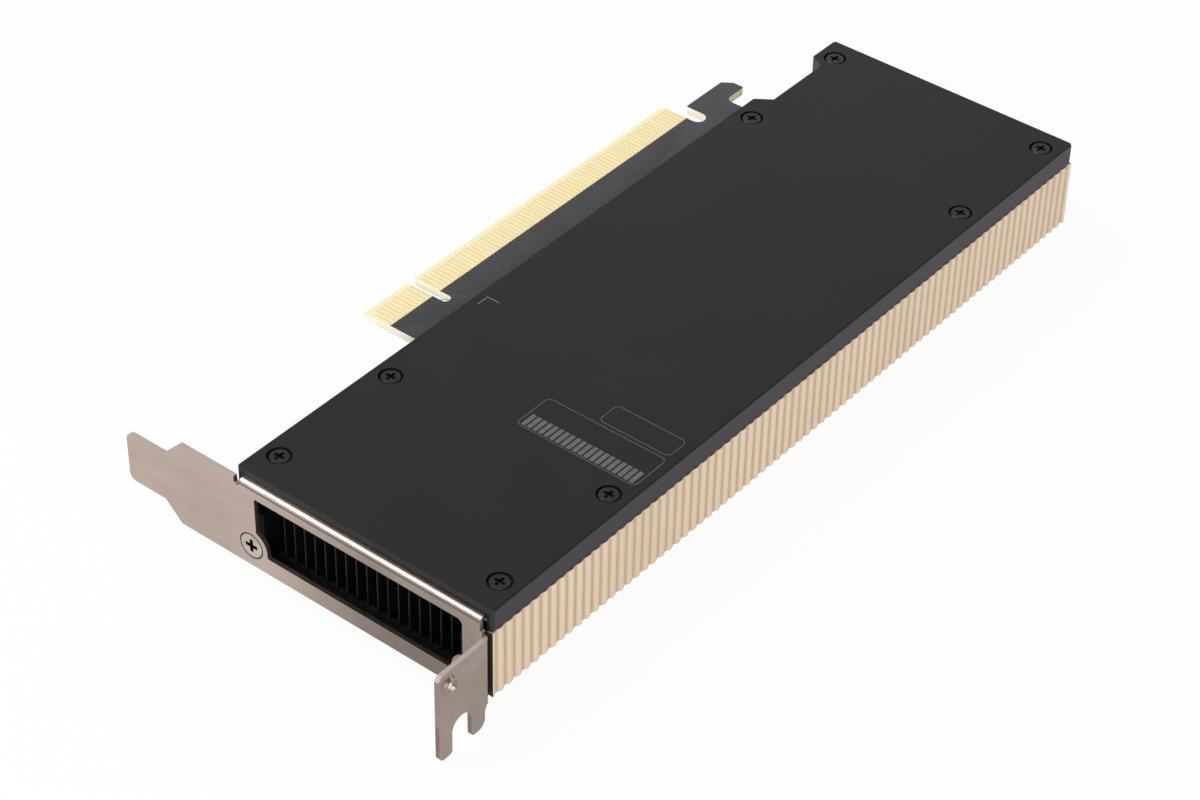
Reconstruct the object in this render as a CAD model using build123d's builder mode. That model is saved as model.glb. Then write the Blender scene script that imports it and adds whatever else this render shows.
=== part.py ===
"""Passive accelerator card for a server: low profile, one slot wide, cooled by the chassis fans.

Millimetres. X runs along the card, away from its bracket. Y points out of the edge connector.
Z points out through the backplate. The origin is the middle of the key notch, at the contact
tips, in the mid plane of the circuit board.
"""
import os
from math import atan, hypot, radians, tan

from build123d import *

os.makedirs("parts", exist_ok=True)

# Card outline
card_height = 68.9
tab_stand_out = 14.05
key_from_front = 58.35
key_to_rear = 109.3
housing_depth = 18.1
board_thickness = 1.57
backplate_rise = 2.6

# Edge connector
key_width = 1.9
key_depth = 9.36
contact_pitch = 1.0
contact_width = 0.7
contact_film = 0.04
contact_root = 6.33
contact_margin = 0.65
first_contact = 1.5
contacts_before_key = 11
contacts_after_key = 71
short_contact_by = 1.0
short_contacts_back = (1,)
short_contacts_front = (17, 31, 48, 81)
bevel_length = 1.4
bevel_angle = 20

# Retention hook beside the connector
relief_width = 3.1
relief_depth = 9.3
hook_top = 3.8
hook_length = 12.4
hook_neck = 6.8
hook_throat = 8.2
hook_slope = (1.45, 2.0)
hook_throat_radius = 1.3
hook_edge_radius = 0.4

# Backplate tray
plate_thickness = 1.1
tray_wall = 1.1
wall_depth = 4.4
edge_bevel = 0.25
corner_bevel = 0.5
recess_depth = 3.1
recess_from_hook = 0.6
recess_lead_in = 2.3
recess_run_out = 1.8
running_gap = 0.1
film_thickness = 0.1
film_margin = 0.5
board_gap = 0.2

# Screws
screw_side_inset = 3.8
front_screw = 6.25
second_screw = 33.5
third_screw_from_rear = 32.15
rear_screw_from_rear = 5.2
small_head = 3.7
small_head_height = 0.75
small_shank = 2.0
small_length = 9.5
counterbore = 4.4
counterbore_depth = 0.8
clearance_hole = 2.4
boss_diameter = 6.4
post_diameter = 4.6
post_margin = 1.0
post_gap = 0.11
screw_room = 0.5
thread_gap = 0.05
cross_share = 0.56
cross_width_share = 0.16
cross_depth_share = 0.7
cross_taper = 12
head_bevel_share = 0.25
tip_bevel_share = 0.12

# Ribbed cover
rib_count = 77
rib_depth = 0.24
rib_stand_out = 0.2
rib_crest_share = 0.62
cover_sheet = 0.96
cover_lead = 0.17
cover_foot_gap = 0.05

# Fin stack
fin_pitch = 2.27
fin_sheet = 0.3
fin_foot_gap = 0.2
fin_first = 3.4
fin_setback = 2.0
fin_rear_setback = 3.0
fin_bend = 0.4

# Heat spreader
base_thickness = 1.0
pedestal_height = 0.065
base_margin = 0.1
pedestal_margin = 1.5
lug_diameter = 4.7
lug_floor_gap = 0.02

# Bracket sheet
bracket_sheet = 0.86
bracket_standoff = 0.54
bracket_overhang = 0.76
bend_inner = 0.1
tongue_reach = 10.46
tongue_width = 10.12
tongue_drop = 4.02
tongue_upper_edge = 8.66
tongue_lower_edge = 8.41
upper_shoulder = 4.0
lower_shoulder = 3.55
tongue_radius = 1.4
window_margin = 5.05
window_top = 2.51
window_sill = 3.42
window_radius = 0.45
window_ear_radius = 1.1
window_land_radius = 3.6
lip_gap = 0.1
lip_near_inset = 1.4
lip_far_inset = 1.85
lip_depth = 2.2
lip_tab_length = 9.6
lip_tab_width = 5.6
lip_tab_radius = 1.5
relief_slot = 1.2
relief_slot_depth = 1.4
corner_cut_depth = 2.76
bracket_sink = 5.1
bracket_head = 4.7
bracket_shank = 3.0
bracket_screw_length = 6.0

# Ear of the bracket
ear_depth = 11.43
ear_top_drop = 3.73
ear_below_face = 4.24
ear_leg_inset = 0.5
ear_notch_width = 4.6
ear_notch_from_face = 6.08
ear_notch_depth = 6.6
ear_outer_chamfer = 0.8
ear_foot_radius = 1.2
ear_heel_radius = 1.7
ear_toe_radius = 0.7
ear_hole_from_face = 8.6
ear_hole_drop = 6.95
ear_hole = 2.2
ear_dome = 3.8
ear_dome_rise = 0.4

# Levels and edges worked out from the sizes above
front_x = -key_from_front
rear_x = key_to_rear
rib_y = -card_height
slot_y = -tab_stand_out
housing_width = slot_y - rib_y
board_top = board_thickness / 2
board_under = -board_top
plate_top = board_top + backplate_rise
plate_under = plate_top - plate_thickness
wall_foot = plate_top - wall_depth
housing_foot = plate_top - housing_depth
cover_wall = cover_sheet + rib_depth - rib_stand_out
cover_top = wall_foot - cover_foot_gap
cover_floor = housing_foot + cover_sheet + rib_depth
fin_foot_level = cover_floor + running_gap / 2
fin_front = front_x + fin_setback
fin_rear = rear_x - fin_rear_setback
lip_near = rib_y + lip_near_inset
lip_far = slot_y - lip_far_inset
bracket_back = front_x - bracket_standoff
bracket_face = bracket_back - bracket_sheet
bracket_top = plate_under - lip_gap
bracket_foot = housing_foot - bracket_overhang
lip_under = bracket_top - bracket_sheet
bracket_screw_z = cover_floor + lug_floor_gap + lug_diameter / 2
tab_start = -(first_contact + (contacts_before_key - 1) * contact_pitch + contact_margin)
tab_end = first_contact + (contacts_after_key - 1) * contact_pitch + contact_margin
relief_end = tab_end + relief_width
neck_end = relief_end + hook_neck

# Screw places
screw_rows = (rib_y + screw_side_inset, slot_y - screw_side_inset)
front_column = front_x + front_screw
other_columns = (front_x + second_screw, rear_x - third_screw_from_rear, rear_x - rear_screw_from_rear)
front_spots = [(front_column, y) for y in screw_rows]
other_spots = [(x, y) for x in other_columns for y in screw_rows]

# The recess starts beside the hook's neck and its far wall passes the rear screw's post
wall_to_post = post_diameter / 2 + tray_wall + post_gap
recess_start = neck_end + recess_from_hook
recess_end = other_columns[-1] + screw_side_inset * recess_run_out / recess_depth
recess_end -= wall_to_post * hypot(recess_depth, recess_run_out) / recess_depth
recess_length = recess_end - recess_start

# Processor and its neighbours
processor_x = 20.0
processor_y = rib_y + housing_width / 2
substrate_size = 36.0
substrate_height = 1.2
stiffener_width = 3.0
stiffener_height = 0.45
die_length = 21.6
die_width = 13.6
die_height = 0.85
paste_height = 0.1
memory_length = 14.0
memory_width = 12.0
memory_height = 1.15
memory_from_processor = 27.5
memory_row_pitch = 15.0

# Heat spreader's levels, set by the processor package that its pedestal meets
processor_stack = substrate_height + die_height + paste_height
base_gap = processor_stack + pedestal_height
base_face = board_under - base_gap
base_foot = base_face - base_thickness
back_memory_pad = plate_under - board_top - memory_height
memory_pad = base_gap - memory_height

# Power parts
inductor_size = 7.0
inductor_height = 2.0
inductor_pitch = 8.6
inductor_row_margin = 6.5
inductor_bevel = 0.6
pad_inset = 0.5
stage_length = 5.0
stage_width = 6.0
stage_height = 0.85
capacitor_length = 7.3
capacitor_width = 4.3
capacitor_height = 1.9
capacitor_column_pitch = 9.5
controller_size = 6.0
controller_height = 0.9
controller_pitch = 13.0
memory_to_stage = 1.8
stage_to_inductor = 1.7
inductor_to_controller = 2.5
controller_to_capacitor = 0.85
stage_x = processor_x + memory_from_processor + (memory_length + stage_length) / 2 + memory_to_stage
inductor_x = stage_x + (stage_length + inductor_size) / 2 + stage_to_inductor
controller_x = inductor_x + (inductor_size + controller_size) / 2 + inductor_to_controller
capacitor_x = controller_x + (controller_size + capacitor_length) / 2 + controller_to_capacitor
inductor_count = 1 + int((housing_width - 2 * inductor_row_margin - inductor_size) / inductor_pitch)
inductor_pad = base_gap - inductor_height
stage_pad = base_gap - stage_height

# Small parts
firmware_length = 5.2
firmware_width = 5.4
firmware_height = 1.2
firmware_spot = (front_x + 28.35, processor_y + 14)
crystal_length = 3.2
crystal_width = 2.5
crystal_height = 0.8
crystal_spot = (front_x + 28.35, processor_y + 4)
fuse_length = 6.1
fuse_width = 2.6
fuse_height = 1.6
fuse_spot = (front_x + second_screw + 7.35, slot_y - 4.95)
ceramic_length = 1.6
ceramic_width = 0.8
ceramic_height = 0.8
ceramic_column_pitch = 3.2
ceramic_row_pitch = 3.0
ceramic_columns = 6
ceramic_rows = 5


def write(name, part):
    """Label one finished piece and write its STEP file."""
    part.label = name
    export_step(part, f"parts/{name}.step")


def screw(head, head_height, shank, length):
    """A cross-recess machine screw, head up, with its shoulder on the XY plane."""
    with BuildPart() as one:
        Cylinder(head / 2, head_height, align=(Align.CENTER, Align.CENTER, Align.MIN))
        chamfer(one.edges().group_by(Axis.Z)[-1], head_height * head_bevel_share)
        Cylinder(shank / 2, length, align=(Align.CENTER, Align.CENTER, Align.MAX))
        chamfer(one.edges().group_by(Axis.Z)[0], shank * tip_bevel_share)
        with BuildSketch(Plane.XY.offset(head_height)):
            Rectangle(head * cross_share, head * cross_width_share)
            Rectangle(head * cross_width_share, head * cross_share)
        extrude(amount=-head_height * cross_depth_share, taper=cross_taper, mode=Mode.SUBTRACT)
    return one.part


# Outline of the housing, with the recess beside the retention hook
with BuildSketch() as housing:
    with BuildLine():
        Polyline(
            (front_x, rib_y),
            (rear_x, rib_y),
            (rear_x, slot_y),
            (recess_end, slot_y),
            (recess_end - recess_run_out, slot_y - recess_depth),
            (recess_start + recess_lead_in, slot_y - recess_depth),
            (recess_start, slot_y),
            (front_x, slot_y),
            close=True,
        )
    make_face()

# Backplate: a tray with screw bosses, open for the board's tab and the bracket's lip
with BuildPart() as backplate:
    with BuildSketch(Plane.XY.offset(wall_foot)):
        add(housing.sketch)
    extrude(amount=wall_depth)
    uprights = backplate.edges().filter_by(Axis.Z).group_by(Axis.X)
    chamfer(uprights[0] + uprights[-1], corner_bevel)
    chamfer(backplate.faces().sort_by(Axis.Z)[-1].edges(), edge_bevel)
    with BuildSketch(Plane.XY.offset(wall_foot)):
        offset(housing.sketch, amount=-tray_wall, kind=Kind.INTERSECTION, mode=Mode.ADD)
    extrude(amount=plate_under - wall_foot, mode=Mode.SUBTRACT)
    with BuildSketch(Plane.XY.offset(board_top)):
        with Locations(*other_spots):
            Circle(boss_diameter / 2)
    extrude(amount=plate_under - board_top)
    with BuildSketch(Plane.XY.offset(bracket_top)):
        with Locations(*front_spots):
            Circle(boss_diameter / 2)
    extrude(amount=plate_under - bracket_top)
    with BuildSketch(Plane.XY.offset(wall_foot)):
        with BuildLine():
            Polyline(
                (tab_start - board_gap, slot_y - 2 * tray_wall),
                (neck_end + board_gap, slot_y - 2 * tray_wall),
                (neck_end + board_gap, slot_y + tray_wall),
                (tab_start - board_gap, slot_y + tray_wall),
                close=True,
            )
        make_face()
    extrude(amount=board_top + running_gap - wall_foot, mode=Mode.SUBTRACT)
    with BuildSketch(Plane.XY.offset(wall_foot)):
        with Locations((front_x, (lip_near + lip_far) / 2)):
            Rectangle(4 * tray_wall, lip_far - lip_near + 2 * board_gap)
    extrude(amount=plate_under - wall_foot, mode=Mode.SUBTRACT)
    with Locations(*[(x, y, plate_top) for x, y in front_spots + other_spots]):
        CounterBoreHole(clearance_hole / 2, counterbore / 2, counterbore_depth)
write("backplate", backplate.part)

# Screws that clamp backplate, board and heat spreader together
with BuildPart() as backplate_screws:
    with Locations(*[(x, y, plate_top - counterbore_depth) for x, y in front_spots + other_spots]):
        add(screw(small_head, small_head_height, small_shank, small_length))
write("backplate_screws", backplate_screws.part)

# Circuit board with its key notch, relief, hook and bevelled tip
with BuildPart() as circuit_board:
    with BuildSketch(Plane.XY.offset(board_under)) as board_outline:
        offset(housing.sketch, amount=-(tray_wall + board_gap), kind=Kind.INTERSECTION, mode=Mode.ADD)
        with BuildLine():
            Polyline(
                (tab_start, slot_y - 2 * tray_wall),
                (tab_start, 0),
                (relief_end, 0),
                (relief_end, slot_y - 2 * tray_wall),
                close=True,
            )
        make_face()
        with BuildLine():
            Polyline(
                (relief_end - relief_width / 2, slot_y - 1.5 * tray_wall),
                (relief_end, -relief_depth),
                (relief_end, -hook_top),
                (relief_end + hook_length - hook_slope[0], -hook_top),
                (relief_end + hook_length, -hook_top - hook_slope[1]),
                (relief_end + hook_length, -hook_throat),
                (neck_end, -hook_throat),
                (neck_end, slot_y - 1.5 * tray_wall),
                close=True,
            )
        make_face()
        with Locations((tab_end + relief_width / 2, 0)):
            Rectangle(relief_width, 2 * (relief_depth - relief_width / 2), mode=Mode.SUBTRACT)
        with Locations((tab_end + relief_width / 2, relief_width / 2 - relief_depth)):
            Circle(relief_width / 2, mode=Mode.SUBTRACT)
        with Locations((0, 0)):
            Rectangle(key_width, 2 * (key_depth - key_width / 2), mode=Mode.SUBTRACT)
        with Locations((0, key_width / 2 - key_depth)):
            Circle(key_width / 2, mode=Mode.SUBTRACT)
        throat = board_outline.vertices().sort_by_distance((neck_end, -hook_throat))[0]
        fillet(throat, hook_throat_radius)
        tips = (
            (relief_end, -hook_top),
            (relief_end + hook_length - hook_slope[0], -hook_top),
            (relief_end + hook_length, -hook_top - hook_slope[1]),
            (relief_end + hook_length, -hook_throat),
        )
        fillet([board_outline.vertices().sort_by_distance(tip)[0] for tip in tips], hook_edge_radius)
        with Locations(*front_spots, *other_spots):
            Circle(clearance_hole / 2, mode=Mode.SUBTRACT)
    extrude(amount=board_thickness)
    bevel_rise = bevel_length * tan(radians(bevel_angle))
    with BuildSketch(Plane.YZ.offset(tab_start - 1)):
        for side in (1, -1):
            with BuildLine():
                Polyline(
                    (-bevel_length, side * board_top),
                    (0, side * (board_top - bevel_rise)),
                    (1, side * (board_top - bevel_rise)),
                    (1, side * (board_top + 1)),
                    (-bevel_length, side * (board_top + 1)),
                    close=True,
                )
            make_face()
    extrude(amount=relief_end - tab_start + 2, mode=Mode.SUBTRACT)
write("circuit_board", circuit_board.part)


def contact_place(number):
    """X of one contact, counted from the bracket's end of the tab."""
    if number <= contacts_before_key:
        return -first_contact - (contacts_before_key - number) * contact_pitch
    return first_contact + (number - contacts_before_key - 1) * contact_pitch


def contact_row(level, short_contacts):
    """One face's row of plated contacts, each a separate pad that stands on level."""
    with BuildPart() as row:
        with BuildSketch(Plane.XY.offset(level)):
            for number in range(1, contacts_before_key + contacts_after_key + 1):
                tip = -bevel_length - (short_contact_by if number in short_contacts else 0)
                with Locations((contact_place(number), (tip - contact_root) / 2)):
                    Rectangle(contact_width, contact_root + tip)
        extrude(amount=contact_film)
    return row.part


write("edge_contacts_back", contact_row(board_top, short_contacts_back))
write("edge_contacts_front", contact_row(board_under - contact_film, short_contacts_front))

# Processor package, hanging from the board's component side
under_board = (Align.CENTER, Align.CENTER, Align.MAX)
over_board = (Align.CENTER, Align.CENTER, Align.MIN)

with BuildPart() as processor_substrate:
    with Locations((processor_x, processor_y, board_under)):
        Box(substrate_size, substrate_size, substrate_height, align=under_board)
write("processor_substrate", processor_substrate.part)

with BuildPart() as processor_stiffener:
    with BuildSketch(Plane.XY.offset(board_under - substrate_height)):
        with Locations((processor_x, processor_y)):
            Rectangle(substrate_size, substrate_size)
            inside = substrate_size - 2 * stiffener_width
            Rectangle(inside, inside, mode=Mode.SUBTRACT)
    extrude(amount=-stiffener_height)
write("processor_stiffener", processor_stiffener.part)

with BuildPart() as processor_die:
    with Locations((processor_x, processor_y, board_under - substrate_height)):
        Box(die_width, die_length, die_height, align=under_board)
write("processor_die", processor_die.part)

with BuildPart() as thermal_paste:
    with Locations((processor_x, processor_y, board_under - substrate_height - die_height)):
        Box(die_width, die_length, paste_height, align=under_board)
write("thermal_paste", thermal_paste.part)

# Memory on both faces, three chips to each side of the processor
memory_spots = [
    (processor_x + side * memory_from_processor, processor_y + row * memory_row_pitch)
    for side in (-1, 1)
    for row in (-1, 0, 1)
]


def on_board(spots, length, width, height, level, align):
    """Equal blocks on one level of the board, one at each spot."""
    with BuildPart() as blocks:
        with Locations(*[(x, y, level) for x, y in spots]):
            Box(length, width, height, align=align)
    return blocks.part


write("memory_chips_front", on_board(
    memory_spots, memory_length, memory_width, memory_height, board_under, under_board
))
write("memory_chips_back", on_board(
    memory_spots, memory_length, memory_width, memory_height, board_top, over_board
))
write("memory_pads_front", on_board(
    memory_spots, memory_length, memory_width, memory_pad, board_under - memory_height, under_board
))
write("memory_pads_back", on_board(
    memory_spots, memory_length, memory_width, back_memory_pad, board_top + memory_height, over_board
))

# Power conversion towards the rear of the card
first_power_row = processor_y - (inductor_count - 1) / 2 * inductor_pitch
power_rows = [first_power_row + row * inductor_pitch for row in range(inductor_count)]
inductor_spots = [(inductor_x, y) for y in power_rows]
stage_spots = [(stage_x, y) for y in power_rows]
capacitor_spots = [(capacitor_x, y) for y in power_rows]
capacitor_spots += [(capacitor_x + capacitor_column_pitch, y) for y in power_rows[1:-1]]
controller_spots = [(controller_x, processor_y + side * controller_pitch / 2) for side in (-1, 1)]
pad_size = inductor_size - 2 * pad_inset

with BuildPart() as power_inductors:
    with Locations(*[(x, y, board_under) for x, y in inductor_spots]):
        Box(inductor_size, inductor_size, inductor_height, align=under_board)
    chamfer(power_inductors.edges().filter_by(Axis.Z), inductor_bevel)
write("power_inductors", power_inductors.part)
write("power_stages", on_board(
    stage_spots, stage_length, stage_width, stage_height, board_under, under_board
))
write("bulk_capacitors", on_board(
    capacitor_spots, capacitor_length, capacitor_width, capacitor_height, board_under, under_board
))
write("inductor_pads", on_board(
    inductor_spots, pad_size, pad_size, inductor_pad, board_under - inductor_height, under_board
))
write("power_stage_pads", on_board(
    stage_spots, stage_length, stage_width, stage_pad, board_under - stage_height, under_board
))

# Small parts: voltage controllers, firmware chip, clock crystal, input fuse and filter capacitors
write("voltage_controllers", on_board(
    controller_spots, controller_size, controller_size, controller_height, board_under, under_board
))
write("firmware_chip", on_board(
    [firmware_spot], firmware_length, firmware_width, firmware_height, board_under, under_board
))
write("clock_crystal", on_board(
    [crystal_spot], crystal_length, crystal_width, crystal_height, board_under, under_board
))
write("input_fuse", on_board([fuse_spot], fuse_length, fuse_width, fuse_height, board_under, under_board))
with BuildPart() as ceramic_capacitors:
    with Locations((processor_x, processor_y, board_top)):
        with GridLocations(ceramic_column_pitch, ceramic_row_pitch, ceramic_columns, ceramic_rows):
            Box(ceramic_length, ceramic_width, ceramic_height, align=over_board)
write("ceramic_capacitors", ceramic_capacitors.part)

# Insulating film under the backplate, with windows for its bosses and the memory pads
with BuildPart() as insulating_film:
    with BuildSketch(Plane.XY.offset(plate_under - film_thickness)):
        offset(housing.sketch, amount=-(tray_wall + board_gap), kind=Kind.INTERSECTION, mode=Mode.ADD)
        with Locations((front_x, processor_y)):
            Rectangle(2 * (lip_tab_length + 2 * film_margin), housing_width, mode=Mode.SUBTRACT)
        with Locations(*other_spots):
            Circle(boss_diameter / 2 + board_gap, mode=Mode.SUBTRACT)
        with Locations(*memory_spots):
            Rectangle(memory_length + 2 * film_margin, memory_width + 2 * film_margin, mode=Mode.SUBTRACT)
    extrude(amount=film_thickness)
write("insulating_film", insulating_film.part)

# Heat spreader: base plate, pedestal, screw posts and two lugs that hold the bracket
with BuildPart() as heat_spreader:
    with BuildSketch(Plane.XY.offset(base_face)):
        offset(housing.sketch, amount=-(cover_wall + base_margin), kind=Kind.INTERSECTION, mode=Mode.ADD)
        with Locations(((fin_front + fin_rear) / 2, processor_y)):
            Rectangle(fin_rear - fin_front, housing_width, mode=Mode.INTERSECT)
    extrude(amount=-base_thickness)
    pedestal = board_under - substrate_height - die_height - paste_height
    with BuildSketch(Plane.XY.offset(base_face)):
        with Locations((processor_x, processor_y)):
            Rectangle(die_width + 2 * pedestal_margin, die_length + 2 * pedestal_margin)
    extrude(amount=pedestal - base_face)
    with BuildSketch(Plane.XY.offset(cover_floor)):
        with Locations(*front_spots, *other_spots):
            Circle(post_diameter / 2)
    extrude(amount=board_under - cover_floor)
    with BuildSketch(Plane.YZ.offset(bracket_back)):
        for y in screw_rows:
            with Locations((y, bracket_screw_z)):
                Circle(lug_diameter / 2)
            with Locations((y, (bracket_screw_z + base_foot) / 2)):
                Rectangle(lug_diameter, base_foot - bracket_screw_z)
    extrude(amount=front_column - bracket_back)
    with Locations(*[(x, y, board_under) for x, y in front_spots + other_spots]):
        screw_reach = small_length - (plate_top - counterbore_depth - board_under) + screw_room
        Hole(small_shank / 2 + thread_gap, depth=screw_reach)
    with Locations(*[Plane((bracket_back, y, bracket_screw_z), z_dir=(-1, 0, 0)) for y in screw_rows]):
        Hole(bracket_shank / 2 + thread_gap, depth=bracket_screw_length)
write("heat_spreader", heat_spreader.part)

# Fin stack: folded sheets, each foot reaching for the next fin
fin_top = base_foot
fin_foot = fin_pitch - fin_sheet - fin_foot_gap
fin_count = 1 + int((housing_width - 2 * fin_first) / fin_pitch)
fin_rows = [rib_y + fin_first + number * fin_pitch for number in range(fin_count)]
with BuildPart() as fin_stack:
    with BuildSketch(Plane.YZ.offset(fin_front)) as fin_profile:
        with BuildLine():
            Polyline(
                (fin_foot, fin_top),
                (0, fin_top),
                (0, fin_foot_level),
                (fin_foot, fin_foot_level),
                (fin_foot, fin_foot_level + fin_sheet),
                (fin_sheet, fin_foot_level + fin_sheet),
                (fin_sheet, fin_top - fin_sheet),
                (fin_foot, fin_top - fin_sheet),
                close=True,
            )
        make_face()
        fillet(fin_profile.vertices().group_by(Axis.X)[0], fin_bend)
    fin = extrude(amount=fin_rear - fin_front, mode=Mode.PRIVATE)
    with Locations(*[(0, y - fin_sheet / 2, 0) for y in fin_rows]):
        add(fin)
    for x, y in front_spots + other_spots:
        with Locations((x, y, cover_floor)):
            Box(
                post_diameter + 2 * post_margin,
                post_diameter + 2 * board_gap,
                2 * (base_foot - cover_floor),
                mode=Mode.SUBTRACT,
            )
    for y in screw_rows:
        with Locations((fin_front, y, cover_floor)):
            Box(
                2 * (front_column - fin_front),
                post_diameter + 2 * board_gap,
                2 * (base_foot - cover_floor),
                mode=Mode.SUBTRACT,
            )
    with BuildSketch(Plane.XY.offset(cover_floor)) as fin_area:
        with Locations(((recess_start + recess_end) / 2, slot_y)):
            Rectangle(recess_length + 4 * board_gap, 2 * (recess_depth + cover_sheet + board_gap))
    extrude(amount=base_foot - cover_floor, mode=Mode.SUBTRACT)
write("fin_stack", fin_stack.part)

# Ribbed cover: one corrugated sheet folded down the side, across the face and up the other side,
# with a flat wall round the recess beside the retention hook
cover_start = front_x - cover_lead
cover_end = rear_x
rib_pitch = (cover_end - cover_start) / rib_count
rib_slope = 2 * atan(2 * rib_depth / rib_pitch)
crest_half = rib_pitch / 2 * rib_crest_share
flank = rib_depth - crest_half * tan(rib_slope / 2)
valley_near = rib_y - rib_stand_out + rib_depth
valley_far = slot_y + rib_stand_out - rib_depth
valley_face = housing_foot + rib_depth

with BuildPart() as ribbed_cover:
    with BuildLine(Plane.YZ) as fold:
        Polyline(
            (valley_near, cover_top),
            (valley_near, valley_face),
            (valley_far, valley_face),
            (valley_far, cover_top),
        )
    with BuildSketch(Plane(origin=(0, valley_near, cover_top), x_dir=(1, 0, 0), z_dir=(0, 0, -1))):
        with BuildLine():
            TangentArc((cover_start, rib_depth), (cover_start + crest_half, flank), tangent=(1, 0))
            for number in range(rib_count):
                crest = cover_start + (number + 1) * rib_pitch
                valley = crest - rib_pitch / 2
                near_flank = crest - rib_pitch + crest_half
                ThreePointArc((near_flank, flank), (valley, 0), (crest - crest_half, flank))
                if number < rib_count - 1:
                    far_flank = crest + crest_half
                    ThreePointArc((crest - crest_half, flank), (crest, rib_depth), (far_flank, flank))
            TangentArc((cover_end, rib_depth), (cover_end - crest_half, flank), tangent=(-1, 0))
            Polyline(
                (cover_end, rib_depth),
                (cover_end, -cover_sheet),
                (cover_start, -cover_sheet),
                (cover_start, rib_depth),
            )
        make_face()
    sweep(path=fold.line, transition=Transition.RIGHT)
    with BuildSketch(Plane.XY.offset(housing_foot)):
        with BuildLine():
            Polyline(
                (recess_start - recess_lead_in, slot_y + recess_depth),
                (recess_start + recess_lead_in, slot_y - recess_depth),
                (recess_end - recess_run_out, slot_y - recess_depth),
                (recess_end + recess_run_out, slot_y + recess_depth),
                close=True,
            )
        make_face()
    extrude(amount=cover_top - housing_foot, mode=Mode.SUBTRACT)
    with BuildSketch(Plane.XY.offset(valley_face)):
        with Locations(((recess_start + recess_end) / 2, slot_y - rib_depth)):
            Rectangle(recess_length + 2 * cover_sheet, 2 * (recess_depth + cover_sheet - rib_depth))
        add(housing.sketch, mode=Mode.INTERSECT)
        offset(housing.sketch, amount=-cover_sheet, kind=Kind.INTERSECTION, mode=Mode.SUBTRACT)
    extrude(amount=cover_top - valley_face)
write("ribbed_cover", ribbed_cover.part)

# Bracket: one sheet with a tongue, an air window, a bent lip over the board and a bent ear
bend_outer = bend_inner + bracket_sheet
tongue_top = bracket_top - tongue_drop
tongue_foot = tongue_top - tongue_width
bend_start = rib_y + bend_outer
ear_top = bracket_top - ear_top_drop
ear_foot = bracket_foot - ear_below_face
ear_tip = bracket_face - ear_depth
ear_bend_x = bracket_back - bend_outer
ear_leg_x = bracket_face - ear_leg_inset
ear_notch_x = bracket_face - ear_notch_from_face
ear_hole_x = bracket_face - ear_hole_from_face
ear_hole_z = bracket_top - ear_hole_drop
tongue_tip = tongue_reach
window_height = bracket_top - window_top - bracket_foot - window_sill
window_centre = (processor_y, bracket_foot + window_sill + window_height / 2)

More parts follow.
